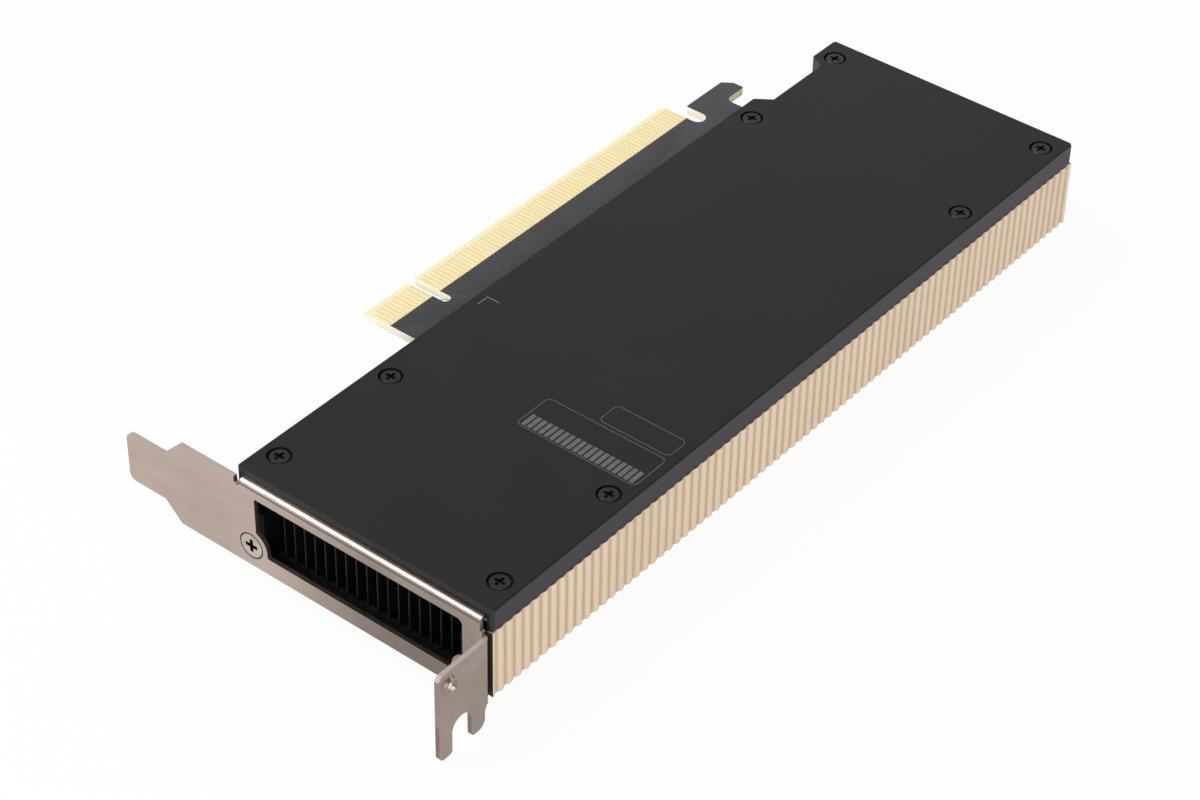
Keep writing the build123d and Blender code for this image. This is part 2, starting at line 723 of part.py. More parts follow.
with BuildPart() as bracket:
    with BuildSketch(Plane.YZ.offset(bracket_face)) as face:
        with BuildLine():
            Polyline(
                (bend_start, bracket_foot),
                (bend_start, bracket_top - corner_cut_depth),
                (lip_near, bracket_top - corner_cut_depth),
                (lip_near, bracket_top - bend_outer),
                (lip_far, bracket_top - bend_outer),
                (lip_far, bracket_top),
                (tongue_tip - tongue_upper_edge - upper_shoulder, bracket_top),
                (tongue_tip - tongue_upper_edge, tongue_top),
                (tongue_tip, tongue_top),
                (tongue_tip, tongue_foot),
                (tongue_tip - tongue_lower_edge, tongue_foot),
                (tongue_tip - tongue_lower_edge - lower_shoulder, bracket_foot),
                close=True,
            )
        make_face()
        fillet(face.vertices().group_by(Axis.X)[-1], tongue_radius)
        with Locations((lip_far + relief_slot / 2, bracket_top)):
            SlotOverall(2 * relief_slot_depth, relief_slot, rotation=90, mode=Mode.SUBTRACT)
    extrude(amount=bracket_sheet)
    with BuildSketch(Plane.YZ.offset(bracket_face)) as window:
        with Locations(window_centre):
            Rectangle(housing_width - 2 * window_margin, window_height)
        with Locations(*[(y, bracket_screw_z) for y in screw_rows]):
            Circle(window_land_radius, mode=Mode.SUBTRACT)
        ear_corner = (rib_y + window_margin, window_centre[1] + window_height / 2)
        fillet(window.vertices().sort_by_distance(ear_corner)[1:], window_radius)
        fillet(window.vertices().sort_by_distance(ear_corner)[0], window_ear_radius)
    extrude(amount=bracket_sheet, mode=Mode.SUBTRACT)
    with Locations(*[Plane((bracket_face, y, bracket_screw_z), z_dir=(-1, 0, 0)) for y in screw_rows]):
        CounterSinkHole(
            bracket_shank / 2 + thread_gap, bracket_sink / 2, depth=bracket_sheet, counter_sink_angle=90
        )
    # Lip, bent back over the board, with a tab round each front screw
    with BuildSketch(Plane((0, lip_far, 0), x_dir=(1, 0, 0), z_dir=(0, -1, 0))):
        with BuildLine():
            Line((bracket_face, bracket_top - bend_outer), (bracket_back, bracket_top - bend_outer))
            RadiusArc(
                (bracket_back, bracket_top - bend_outer),
                (bracket_back + bend_inner, lip_under),
                bend_inner,
            )
            Polyline(
                (bracket_back + bend_inner, lip_under),
                (front_x + lip_depth, lip_under),
                (front_x + lip_depth, bracket_top),
                (bracket_back + bend_inner, bracket_top),
            )
            RadiusArc(
                (bracket_back + bend_inner, bracket_top),
                (bracket_face, bracket_top - bend_outer),
                -bend_outer,
            )
        make_face()
    extrude(amount=lip_far - lip_near)
    with BuildSketch(Plane.XY.offset(lip_under)) as tabs:
        for near in (lip_near, lip_far - lip_tab_width):
            with Locations((front_x + lip_tab_length / 2, near + lip_tab_width / 2)):
                Rectangle(lip_tab_length, lip_tab_width)
        fillet(tabs.vertices().group_by(Axis.X)[-1], lip_tab_radius)
        with Locations(*front_spots):
            Circle(clearance_hole / 2, mode=Mode.SUBTRACT)
    extrude(amount=bracket_sheet)
    # Ear, bent forward, with its screw notch and domed hole
    with BuildSketch(Plane.XY.offset(bracket_foot)):
        with BuildLine():
            RadiusArc((bracket_back, bend_start), (ear_bend_x, rib_y), bend_outer)
            Line((ear_bend_x, rib_y), (ear_bend_x, rib_y + bracket_sheet))
            RadiusArc((ear_bend_x, rib_y + bracket_sheet), (bracket_face, bend_start), -bend_inner)
            Line((bracket_face, bend_start), (bracket_back, bend_start))
        make_face()
    extrude(amount=ear_top - bracket_foot)
    with BuildSketch(Plane((0, rib_y + bracket_sheet, 0), x_dir=(1, 0, 0), z_dir=(0, -1, 0))) as ear:
        with BuildLine():
            Polyline(
                (ear_bend_x, ear_top),
                (ear_tip, ear_top),
                (ear_tip, ear_foot),
                (ear_leg_x, ear_foot),
                (ear_leg_x, bracket_foot - 2 * ear_leg_inset),
                (ear_bend_x, bracket_foot),
                close=True,
            )
        make_face()
        outer_top = ear.vertices().sort_by_distance((ear_tip, ear_top))[0]
        chamfer(outer_top, ear_outer_chamfer)
        heel = ear.vertices().sort_by_distance((ear_leg_x, ear_foot))[0]
        fillet(heel, ear_heel_radius)
        foot = ear.vertices().sort_by_distance((ear_tip, ear_foot))[0]
        fillet(foot, ear_foot_radius)
        with Locations((ear_notch_x, ear_foot)):
            SlotOverall(2 * ear_notch_depth, ear_notch_width, rotation=90, mode=Mode.SUBTRACT)
        for side in (-1, 1):
            toe_spot = (ear_notch_x + side * ear_notch_width / 2, ear_foot)
            toe = ear.vertices().sort_by_distance(toe_spot)[0]
            fillet(toe, ear_toe_radius)
    extrude(amount=bracket_sheet)
    with Locations(Plane((ear_hole_x, rib_y, ear_hole_z), z_dir=(0, -1, 0))):
        Cone(ear_dome / 2, ear_dome / 2 - ear_dome_rise, ear_dome_rise, align=over_board)
    dome_inside = ear_dome / 2 - ear_dome_rise / 2
    with Locations(Plane((ear_hole_x, rib_y + bracket_sheet, ear_hole_z), z_dir=(0, -1, 0))):
        Cone(dome_inside, ear_hole / 2, ear_dome_rise, align=over_board, mode=Mode.SUBTRACT)
        Cylinder(ear_hole / 2, 4 * bracket_sheet, mode=Mode.SUBTRACT)
write("bracket", bracket.part)


def flat_screw(head, shank, length):
    """A flat-head cross-recess screw with its face on the XY plane, pointing down."""
    with BuildPart() as one:
        depth = (head - shank) / 2
        Cone(shank / 2, head / 2, depth, align=(Align.CENTER, Align.CENTER, Align.MAX))
        Cylinder(shank / 2, length, align=(Align.CENTER, Align.CENTER, Align.MAX))
        chamfer(one.edges().group_by(Axis.Z)[0], shank * tip_bevel_share)
        with BuildSketch():
            Rectangle(head * cross_share, head * cross_width_share)
            Rectangle(head * cross_width_share, head * cross_share)
        extrude(amount=-depth * cross_depth_share, taper=cross_taper, mode=Mode.SUBTRACT)
    return one.part


with BuildPart() as bracket_screws:
    with Locations(*[Plane((bracket_face, y, bracket_screw_z), z_dir=(-1, 0, 0)) for y in screw_rows]):
        add(flat_screw(bracket_head, bracket_shank, bracket_screw_length))
write("bracket_screws", bracket_screws.part)
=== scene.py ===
import math

import bmesh
import bpy
from mathutils import Matrix, Vector


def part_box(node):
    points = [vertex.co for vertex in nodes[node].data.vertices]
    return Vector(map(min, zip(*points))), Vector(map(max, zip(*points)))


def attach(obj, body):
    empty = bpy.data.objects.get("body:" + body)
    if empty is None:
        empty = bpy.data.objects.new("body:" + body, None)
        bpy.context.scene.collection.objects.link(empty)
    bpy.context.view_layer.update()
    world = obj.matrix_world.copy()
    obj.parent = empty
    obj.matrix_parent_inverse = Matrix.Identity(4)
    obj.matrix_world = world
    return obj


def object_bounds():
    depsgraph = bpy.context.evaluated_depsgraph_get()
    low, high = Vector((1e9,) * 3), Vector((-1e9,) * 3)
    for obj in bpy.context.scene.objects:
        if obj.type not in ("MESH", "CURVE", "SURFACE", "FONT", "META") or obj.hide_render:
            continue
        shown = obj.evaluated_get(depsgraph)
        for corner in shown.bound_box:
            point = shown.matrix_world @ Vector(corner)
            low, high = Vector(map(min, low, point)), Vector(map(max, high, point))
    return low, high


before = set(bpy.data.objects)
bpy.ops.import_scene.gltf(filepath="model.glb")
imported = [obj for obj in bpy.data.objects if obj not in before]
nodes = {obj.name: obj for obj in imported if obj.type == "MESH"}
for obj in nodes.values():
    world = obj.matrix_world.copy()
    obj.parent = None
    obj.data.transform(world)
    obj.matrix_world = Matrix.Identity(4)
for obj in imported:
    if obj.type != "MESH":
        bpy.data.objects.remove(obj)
cadLow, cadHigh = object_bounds()
mm = 0.001
print("frame loaded with", len(nodes), "nodes")


# Camera, at the photograph's angle

cameraLook = {
    "place": (-0.328932, -0.300874, 0.335900),  # metres
    "turn": (50.8636, -1.0137, -51.1230),  # degrees
    "lens": 94.293,  # millimetres, like the sensor
    "sensor": 36,
    "nearest": 0.01,  # metres
}

bpy.ops.object.camera_add(
    location=cameraLook["place"],
    rotation=[math.radians(angle) for angle in cameraLook["turn"]],
)
camera = bpy.context.object
camera.name = "photoCamera"
camera.data.lens = cameraLook["lens"]
camera.data.sensor_width = cameraLook["sensor"]
camera.data.clip_start = cameraLook["nearest"]
bpy.context.scene.camera = camera
bpy.context.scene.view_settings.view_transform = "Standard"
print("camera set")


# Shader helpers

def addNoise(tree, grains, stretch=(1, 1, 1), detail=3):
    # so many grains for each metre of the piece, on its own coordinates
    place = tree.nodes.new("ShaderNodeTexCoord")
    turn = tree.nodes.new("ShaderNodeMapping")
    turn.inputs["Scale"].default_value = stretch
    noise = tree.nodes.new("ShaderNodeTexNoise")
    noise.inputs["Scale"].default_value = grains
    noise.inputs["Detail"].default_value = detail
    tree.links.new(place.outputs["Object"], turn.inputs["Vector"])
    tree.links.new(turn.outputs["Vector"], noise.inputs["Vector"])
    return noise.outputs["Fac"]


def remap(tree, value, low, high, start=0.34, end=0.66):
    # the middle of a noise spread over a range of its own
    spread = tree.nodes.new("ShaderNodeMapRange")
    spread.inputs["From Min"].default_value = start
    spread.inputs["From Max"].default_value = end
    spread.inputs["To Min"].default_value = low
    spread.inputs["To Max"].default_value = high
    tree.links.new(value, spread.inputs["Value"])
    return spread.outputs["Result"]


def mixColours(tree, share, first, second):
    # each colour is three plain numbers or another node's output
    mix = tree.nodes.new("ShaderNodeMix")
    mix.data_type = "RGBA"
    tree.links.new(share, mix.inputs[0])
    for socket, colour in ((mix.inputs[6], first), (mix.inputs[7], second)):
        if isinstance(colour, bpy.types.NodeSocket):
            tree.links.new(colour, socket)
        else:
            socket.default_value = (*colour, 1)
    return mix.outputs[2]


def coordinate(tree, kind, axis):
    # "Object" is the place on the piece in metres, "Normal" the way its face looks
    place = tree.nodes.new("ShaderNodeTexCoord")
    split = tree.nodes.new("ShaderNodeSeparateXYZ")
    tree.links.new(place.outputs[kind], split.inputs["Vector"])
    return split.outputs[axis]


def calculate(tree, operation, *values):
    # each value is a plain number or another node's output
    step = tree.nodes.new("ShaderNodeMath")
    step.operation = operation
    for socket, value in zip(step.inputs, values):
        if isinstance(value, bpy.types.NodeSocket):
            tree.links.new(value, socket)
        else:
            socket.default_value = value
    return step.outputs["Value"]


def between(tree, value, low, high):
    # 1 where the value lies between the two, 0 elsewhere
    above = calculate(tree, "GREATER_THAN", value, low)
    return calculate(tree, "MULTIPLY", above, calculate(tree, "LESS_THAN", value, high))


def facing(tree, axis, limit=0.9):
    # 1 on faces that look nearly straight along the axis, either way, 0 on the others
    slant = calculate(tree, "ABSOLUTE", coordinate(tree, "Normal", axis))
    return calculate(tree, "GREATER_THAN", slant, limit)


def nearAxis(tree, axes, spot, radius):
    # 1 within the radius of a straight line through the spot, all in millimetres
    sides = []
    for axis, place in zip(axes, spot):
        away = calculate(tree, "SUBTRACT", coordinate(tree, "Object", axis), place * mm)
        sides.append(calculate(tree, "MULTIPLY", away, away))
    distance = calculate(tree, "SQRT", calculate(tree, "ADD", *sides))
    return calculate(tree, "LESS_THAN", distance, radius * mm)


def addBump(tree, shader, height, depth):
    bump = tree.nodes.new("ShaderNodeBump")
    bump.inputs["Distance"].default_value = depth
    tree.links.new(height, bump.inputs["Height"])
    tree.links.new(bump.outputs["Normal"], shader.inputs["Normal"])


def makeFinish(name, look):
    # colour drifts in patches, polish in finer ones, and the grain is a true small relief
    # patches, polish and grain are so many for each metre, and depth is the relief in metres
    material = bpy.data.materials.new(name)
    material.use_nodes = True
    tree = material.node_tree
    shader = tree.nodes["Principled BSDF"]
    shader.inputs["Metallic"].default_value = look.get("metallic", 0)
    shader.inputs["Specular IOR Level"].default_value = look.get("specular", 0.5)
    stretch = look.get("stretch", (1, 1, 1))
    drift = remap(tree, addNoise(tree, look["patches"], stretch), 0, 1)
    colour = mixColours(tree, drift, look["colour"], look["drift"])
    tree.links.new(colour, shader.inputs["Base Color"])
    polish = remap(tree, addNoise(tree, look["polish"], stretch), *look["roughness"])
    tree.links.new(polish, shader.inputs["Roughness"])
    addBump(tree, shader, addNoise(tree, look["grain"], stretch), look["depth"])
    return material, tree, shader, colour


def plainFinish(name, look):
    # for finishes that need nothing more than their look
    return makeFinish(name, look)[0]


def dress(material, *names):
    # every face of the named CAD nodes
    for name in names:
        for slot in nodes[name].material_slots:
            slot.material = material


# Backplate: satin black coating with a very fine grain

backplateLook = {
    "colour": (0.0088, 0.0083, 0.0092),
    "drift": (0.0105, 0.0100, 0.0110),
    "patches": 70,
    "polish": 900,
    "roughness": (0.42, 0.46),
    "grain": 9000,
    "depth": 0.000002,
    "specular": 0.36,
    # a painted violet sheen for the long walls
    "wall": (0.0100, 0.0045, 0.0140),
}


def makeCoating(look):
    # painted sheen: the long walls of the tray get a faint violet tinge
    material, tree, shader, colour = makeFinish("satinBlackCoating", look)
    wall = facing(tree, "Y")
    tree.links.new(mixColours(tree, wall, colour, look["wall"]), shader.inputs["Base Color"])
    return material


dress(makeCoating(backplateLook), "backplate")

screwLook = {
    "colour": (0.009, 0.009, 0.010),
    "drift": (0.015, 0.015, 0.016),
    "patches": 600,
    "polish": 1500,
    "roughness": (0.30, 0.42),
    "grain": 12000,
    "depth": 0.000002,
    "specular": 0.5,
    # painted shade in the drive recess and on the side of the head
    "recess": (0.0012, 0.0012, 0.0012),
    "recessFrom": 0.1,
}


def makeOxide(look):
    # painted shade: the drive recess and the side of the head are dark
    material, tree, shader, colour = makeFinish("blackOxide", look)
    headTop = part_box("backplate_screws")[1].z
    limit = headTop - look["recessFrom"] * mm
    sunk = calculate(tree, "LESS_THAN", coordinate(tree, "Object", "Z"), limit)
    tree.links.new(mixColours(tree, sunk, colour, look["recess"]), shader.inputs["Base Color"])
    return material


dress(makeOxide(screwLook), "backplate_screws")

filmLook = {
    "colour": (0.03, 0.03, 0.032),
    "drift": (0.04, 0.04, 0.042),
    "patches": 60,
    "polish": 300,
    "roughness": (0.22, 0.34),
    "grain": 2500,
    "depth": 0.000004,
}
dress(plainFinish("insulatingFilm", filmLook), "insulating_film")
print("backplate and its screws dressed")


# Ribbed cover: champagne anodising, drawn along the ribs

coverLook = {
    "colour": (0.75, 0.585, 0.43),
    "drift": (0.81, 0.64, 0.475),
    "patches": 30,
    "polish": 500,
    "roughness": (0.38, 0.48),
    "grain": 7000,
    "depth": 0.0000015,
    "metallic": 0.4,
    "stretch": (1, 1, 0.08),
    # painted shade between the ribs
    "valley": (0.56, 0.405, 0.275),
    "ribDepth": 0.24,
    "valleyFrom": 0.35,  # share of the ribs' depth
    # painted shade: black on the inner faces of the walls and the floor
    "inside": (0.003, 0.003, 0.003),
    "insideLean": 0.5,
    "floorHeight": 3,  # millimetres, like the other sizes here
    # painted shadow on the cut front edge of the sheet
    "frontEdge": (0.025, 0.019, 0.015),
    "frontReach": 0.1,
}


def findValleys(tree, low, high, look):
    # from 0 on the ribs to 1 between them, by the depth below the nearest outer side
    across = coordinate(tree, "Object", "Y")
    near = calculate(tree, "SUBTRACT", across, low.y)
    far = calculate(tree, "SUBTRACT", high.y, across)
    below = calculate(tree, "SUBTRACT", coordinate(tree, "Object", "Z"), low.z)
    sunk = calculate(tree, "MINIMUM", calculate(tree, "MINIMUM", near, far), below)
    deep = look["ribDepth"] * mm
    return remap(tree, sunk, 0, 1, deep * look["valleyFrom"], deep)


def findInside(tree, low, high, look):
    # 1 on the walls where they look at each other and on the upper face of the floor
    middle = (low.y + high.y) / 2
    across = calculate(tree, "SUBTRACT", coordinate(tree, "Object", "Y"), middle)
    side = calculate(tree, "SIGN", across)
    outward = calculate(tree, "MULTIPLY", coordinate(tree, "Normal", "Y"), side)
    wall = calculate(tree, "LESS_THAN", outward, -look["insideLean"])
    floorTop = low.z + look["floorHeight"] * mm
    nearFloor = calculate(tree, "LESS_THAN", coordinate(tree, "Object", "Z"), floorTop)
    upward = calculate(tree, "GREATER_THAN", coordinate(tree, "Normal", "Z"), look["insideLean"])
    return calculate(tree, "MAXIMUM", wall, calculate(tree, "MULTIPLY", nearFloor, upward))


def findFrontEdge(tree, low, look):
    # 1 on the cut edge of the sheet at the bracket
    frontEnd = low.x + look["frontReach"] * mm
    atFront = calculate(tree, "LESS_THAN", coordinate(tree, "Object", "X"), frontEnd)
    return calculate(tree, "MULTIPLY", atFront, facing(tree, "X"))


def makeCover(look):
    # duller gold between the ribs, and no metal on the dark front edge and the black inside; all
    # three are painted shade
    material, tree, shader, gold = makeFinish("champagneAnodising", look)
    low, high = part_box("ribbed_cover")
    inside = findInside(tree, low, high, look)
    frontEdge = findFrontEdge(tree, low, look)
    # painted shade between the ribs
    colour = mixColours(tree, findValleys(tree, low, high, look), gold, look["valley"])
    # painted shadow on the cut front edge
    colour = mixColours(tree, frontEdge, colour, look["frontEdge"])
    # painted shade on the inner faces
    colour = mixColours(tree, inside, colour, look["inside"])
    tree.links.new(colour, shader.inputs["Base Color"])
    outside = calculate(tree, "SUBTRACT", 1, calculate(tree, "MAXIMUM", inside, frontEdge))
    metal = calculate(tree, "MULTIPLY", outside, look["metallic"])
    tree.links.new(metal, shader.inputs["Metallic"])
    return material


dress(makeCover(coverLook), "ribbed_cover")
print("cover dressed")


# Bracket: satin nickel with the rolled sheet's grain and a faint mottle, its places in millimetres

bracketLook = {
    "colour": (0.45, 0.355, 0.305),
    "drift": (0.53, 0.43, 0.37),
    "patches": 110,
    "polish": 1200,
    "roughness": (0.24, 0.34),
    "grain": 5000,
    "depth": 0.000001,
    "metallic": 0.95,
    "stretch": (1, 0.35, 1),
    # a painted dim reflection towards the ear
    "dull": (0.28, 0.22, 0.19),
    "dullFrom": -20,
    "dullTo": -45,
    "blotch": (0.75, 1),
    # painted shade on the strip below the window
    "sill": (0.19, 0.15, 0.13),
    "sillTop": -12.1,
    "sillFrom": -28,
    "sillTo": -50,
    "sillStrength": 0.85,
    # painted shade in the countersinks
    "sink": (0.02, 0.018, 0.016),
    "sinkRadius": 2.6,
    "bend": 1.0,
    # painted shade and painted highlight on the bend into the lip
    "shaded": (0.16, 0.13, 0.11),
    "shadedAt": (0.05, 0.34),
    "bright": (0.95, 0.86, 0.77),
    "brightAt": (0.56, 0.88),
    # a painted highlight on the faces of tongue and ear that look up
    "rim": (0.52, 0.44, 0.40),
    "rimMetallic": 0.2,
    "rimLean": 0.7,
    "rimAbove": -67.5,
    "rimBelow": -15.2,
}
bracketScrewLook = {
    "colour": (0.42, 0.37, 0.33),
    "drift": (0.55, 0.49, 0.44),
    "patches": 700,
    "polish": 1500,
    "roughness": (0.20, 0.30),
    "grain": 6000,
    "depth": 0.000002,
    "metallic": 0.95,
    # painted shade behind the face of the head
    "recess": (0.02, 0.018, 0.016),
    "recessFrom": 0.06,
}


def dullPlating(tree, colour, along, look):
    # painted dim reflection: duller in blotches towards the ear
    share = remap(tree, along, 0, 1, look["dullFrom"] * mm, look["dullTo"] * mm)
    blotch = remap(tree, addNoise(tree, look["patches"]), *look["blotch"])
    return mixColours(tree, calculate(tree, "MULTIPLY", share, blotch), colour, look["dull"])


def stainSill(tree, colour, height, along, look):
    # painted shade: the strip below the window darkens towards the ear
    under = calculate(tree, "LESS_THAN", height, look["sillTop"] * mm)
    stained = remap(tree, along, 0, look["sillStrength"], look["sillFrom"] * mm, look["sillTo"] * mm)
    sill = calculate(tree, "MULTIPLY", calculate(tree, "MULTIPLY", under, facing(tree, "X")), stained)
    return mixColours(tree, sill, colour, look["sill"])


def darkenSinks(tree, colour, look):
    # painted shade round the axis of each of the two screws
    low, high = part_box("bracket_screws")
    radius = (high.z - low.z) / 2 / mm
    for y in (low.y / mm + radius, high.y / mm - radius):
        sunk = nearAxis(tree, "YZ", (y, low.z / mm + radius), look["sinkRadius"])
        colour = mixColours(tree, sunk, colour, look["sink"])
    return colour


def bandBend(tree, colour, height, lean, look):
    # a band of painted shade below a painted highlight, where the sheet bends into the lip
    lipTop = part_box("bracket")[1].z
    onBend = calculate(tree, "GREATER_THAN", height, lipTop - look["bend"] * mm)
    for tone, reach in ((look["shaded"], look["shadedAt"]), (look["bright"], look["brightAt"])):
        band = calculate(tree, "MULTIPLY", onBend, between(tree, lean, *reach))
        colour = mixColours(tree, band, colour, tone)
    return colour


def findRims(tree, along, lean, look):
    # 1 on the faces of tongue and ear that look up, where a painted highlight goes
    upward = calculate(tree, "GREATER_THAN", lean, look["rimLean"])
    inner = between(tree, along, look["rimAbove"] * mm, look["rimBelow"] * mm)
    return calculate(tree, "MULTIPLY", upward, calculate(tree, "SUBTRACT", 1, inner))


def makeNickel(look):
    material, tree, shader, plating = makeFinish("satinNickel", look)
    along = coordinate(tree, "Object", "Y")
    height = coordinate(tree, "Object", "Z")
    lean = coordinate(tree, "Normal", "Z")
    colour = dullPlating(tree, plating, along, look)
    colour = stainSill(tree, colour, height, along, look)
    colour = darkenSinks(tree, colour, look)
    colour = bandBend(tree, colour, height, lean, look)
    rim = findRims(tree, along, lean, look)
    # painted highlight on the upward faces, with less metal there
    colour = mixColours(tree, rim, colour, look["rim"])
    lost = calculate(tree, "MULTIPLY", rim, look["metallic"] - look["rimMetallic"])
    metal = calculate(tree, "SUBTRACT", look["metallic"], lost)
    tree.links.new(metal, shader.inputs["Metallic"])
    tree.links.new(colour, shader.inputs["Base Color"])
    return material


def makeBrightScrews(look):
    # painted shade: everything behind the face of the head is dark, its cone and its drive recess
    material, tree, shader, plating = makeFinish("brightNickel", look)
    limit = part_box("bracket_screws")[0].x + look["recessFrom"] * mm
    sunk = calculate(tree, "GREATER_THAN", coordinate(tree, "Object", "X"), limit)
    tree.links.new(mixColours(tree, sunk, plating, look["recess"]), shader.inputs["Base Color"])
    return material


dress(makeNickel(bracketLook), "bracket")
dress(makeBrightScrews(bracketScrewLook), "bracket_screws")
print("bracket dressed")


# Circuit board: black mask, left off the tab's tip, and pale glass laminate on the cut edges

boardLook = {
    "colour": (0.050, 0.048, 0.052),
    "drift": (0.060, 0.058, 0.063),
    "patches": 120,
    "polish": 800,
    "roughness": (0.30, 0.38),
    "grain": 4000,
    "depth": 0.000003,
    "specular": 0.5,
    "laminate": (0.94, 0.89, 0.70),
    "glassPlies": (0.98, 0.95, 0.80),
    "bareTip": (1.0, 0.88, 0.55),
    "tipFrom": -6.2,
    "tipTo": 72.3,
    "plies": 9000,
    "plyStretch": (0.06, 0.06, 1),
}


def makeBoard(look):
    # faces that look up or down are masked or bare, and all others are cut edges
    material, tree, shader, mask = makeFinish("solderMask", look)
    plies = addNoise(tree, look["plies"], look["plyStretch"], detail=1)
    edge = mixColours(tree, remap(tree, plies, 0, 1), look["laminate"], look["glassPlies"])
    nearTip = calculate(tree, "GREATER_THAN", coordinate(tree, "Object", "Y"), look["tipFrom"] * mm)
    onTab = calculate(tree, "LESS_THAN", coordinate(tree, "Object", "X"), look["tipTo"] * mm)
    bare = calculate(tree, "MULTIPLY", nearTip, onTab)
    face = mixColours(tree, bare, mask, look["bareTip"])
    colour = mixColours(tree, facing(tree, "Z"), edge, face)
    tree.links.new(colour, shader.inputs["Base Color"])
    return material


dress(makeBoard(boardLook), "circuit_board")

contactLook = {
    "colour": (1.0, 0.82, 0.43),
    "drift": (1.0, 0.88, 0.53),
    "patches": 800,
    "polish": 2500,
    "roughness": (0.26, 0.38),
    "grain": 6000,
    "depth": 0.000001,
    "metallic": 0.2,
    "stretch": (1, 0.07, 1),
}
goldPlating = plainFinish("goldPlating", contactLook)
dress(goldPlating, "edge_contacts_back", "edge_contacts_front")
print("board and contacts dressed")


# Cooler: black anodised sheet fins, bare grey where the sheet was cut, plus a painted highlight on
# the cut ends

coolerLook = {
    "colour": (0.0022, 0.0022, 0.0025),
    "drift": (0.004, 0.004, 0.0044),
    "patches": 150,
    "polish": 900,
    "roughness": (0.5, 0.62),
    "grain": 6000,
    "depth": 0.000003,
    "specular": 0.08,
    # bare metal and a painted highlight on the cut ends
    "cutEdge": (0.022, 0.021, 0.021),
    "wornPatches": 700,
    "worn": (0.45, 1),
}


def makeFins(look):
    # the ends of the fins are paler, more in some patches than in others: bare metal and a painted
    # highlight
    material, tree, shader, coating = makeFinish("blackFins", look)
    worn = remap(tree, addNoise(tree, look["wornPatches"]), *look["worn"])
    share = calculate(tree, "MULTIPLY", facing(tree, "X"), worn)
    tree.links.new(mixColours(tree, share, coating, look["cutEdge"]), shader.inputs["Base Color"])
    return material


dress(makeFins(coolerLook), "fin_stack")
dress(plainFinish("blackAnodising", coolerLook), "heat_spreader")
print("cooler dressed")


# Inner pieces, each in the finish of its kind

innerLooks = {
    "packageLaminate": {
        "colour": (0.035, 0.10, 0.055), "drift": (0.05, 0.13, 0.07), "patches": 400,
        "polish": 1200, "roughness": (0.3, 0.45), "grain": 5000, "depth": 0.000003,
        "nodes": ["processor_substrate"],
    },
    "stiffenerNickel": {
        "colour": (0.50, 0.50, 0.49), "drift": (0.60, 0.60, 0.58), "patches": 200,
        "polish": 1500, "roughness": (0.22, 0.32), "grain": 6000, "depth": 0.0000015,
        "metallic": 1, "stretch": (0.1, 1, 1), "nodes": ["processor_stiffener"],
    },
    "polishedSilicon": {
        "colour": (0.16, 0.16, 0.19), "drift": (0.20, 0.20, 0.24), "patches": 100,
        "polish": 400, "roughness": (0.04, 0.09), "grain": 3000, "depth": 0.0000002,
        "metallic": 0.6, "nodes": ["processor_die"],
    },
    "thermalPaste": {
        "colour": (0.40, 0.41, 0.43), "drift": (0.50, 0.51, 0.53), "patches": 500,
        "polish": 900, "roughness": (0.35, 0.55), "grain": 2500, "depth": 0.00002,
        "nodes": ["thermal_paste"],
    },
    "softPad": {
        "colour": (0.32, 0.36, 0.44), "drift": (0.38, 0.42, 0.50), "patches": 300,
        "polish": 1500, "roughness": (0.7, 0.85), "grain": 4000, "depth": 0.00002,
        "nodes": ["memory_pads_front", "memory_pads_back", "inductor_pads", "power_stage_pads"],
    },
    "mouldedPackage": {
        "colour": (0.018, 0.018, 0.019), "drift": (0.030, 0.030, 0.031), "patches": 900,
        "polish": 2500, "roughness": (0.5, 0.65), "grain": 9000, "depth": 0.000006,
        "nodes": ["memory_chips_front", "memory_chips_back", "power_stages", "voltage_controllers",
                  "firmware_chip", "input_fuse"],
    },
    "pressedIron": {
        "colour": (0.10, 0.10, 0.10), "drift": (0.17, 0.165, 0.16), "patches": 2500,
        "polish": 3000, "roughness": (0.55, 0.75), "grain": 7000, "depth": 0.00001,
        "nodes": ["power_inductors"],
    },
    "tanBody": {
        "colour": (0.42, 0.31, 0.17), "drift": (0.52, 0.40, 0.24), "patches": 1200,
        "polish": 2500, "roughness": (0.4, 0.55), "grain": 8000, "depth": 0.000004,
        "nodes": ["bulk_capacitors", "ceramic_capacitors"],
    },
    "crystalCan": {
        "colour": (0.55, 0.55, 0.54), "drift": (0.64, 0.64, 0.62), "patches": 900,
        "polish": 2500, "roughness": (0.18, 0.28), "grain": 7000, "depth": 0.000001,
        "metallic": 1, "nodes": ["clock_crystal"],
    },
}
for finishName, innerLook in innerLooks.items():
    dress(plainFinish(finishName, innerLook), *innerLook["nodes"])
print("inner pieces dressed")


# Modelling helpers for thin printed and etched pieces

sliver = 0.001  # slack in millimetres when edges are picked by their place


def startSheet(name, lowX, highX, lowY, highY, z):
    # a flat sheet at its size and place, its object left at the origin
    bpy.ops.object.select_all(action="DESELECT")
    middle = ((lowX + highX) / 2 * mm, (lowY + highY) / 2 * mm, z)
    bpy.ops.mesh.primitive_plane_add(size=1, location=middle)
    sheet = bpy.context.object
    sheet.name = name
    sheet.scale = ((highX - lowX) * mm, (highY - lowY) * mm, 1)
    bpy.ops.object.transform_apply(location=True, rotation=True, scale=True)
    return sheet


def pickEdges(test):
    # in edit mode: selects the edges whose middle passes the test
    bpy.ops.mesh.select_mode(type="EDGE")
    bpy.ops.mesh.select_all(action="DESELECT")
    shape = bmesh.from_edit_mesh(bpy.context.edit_object.data)
    for edge in shape.edges:
        if test((edge.verts[0].co + edge.verts[1].co) / 2 / mm):
            edge.select_set(True)
    bmesh.update_edit_mesh(bpy.context.edit_object.data)


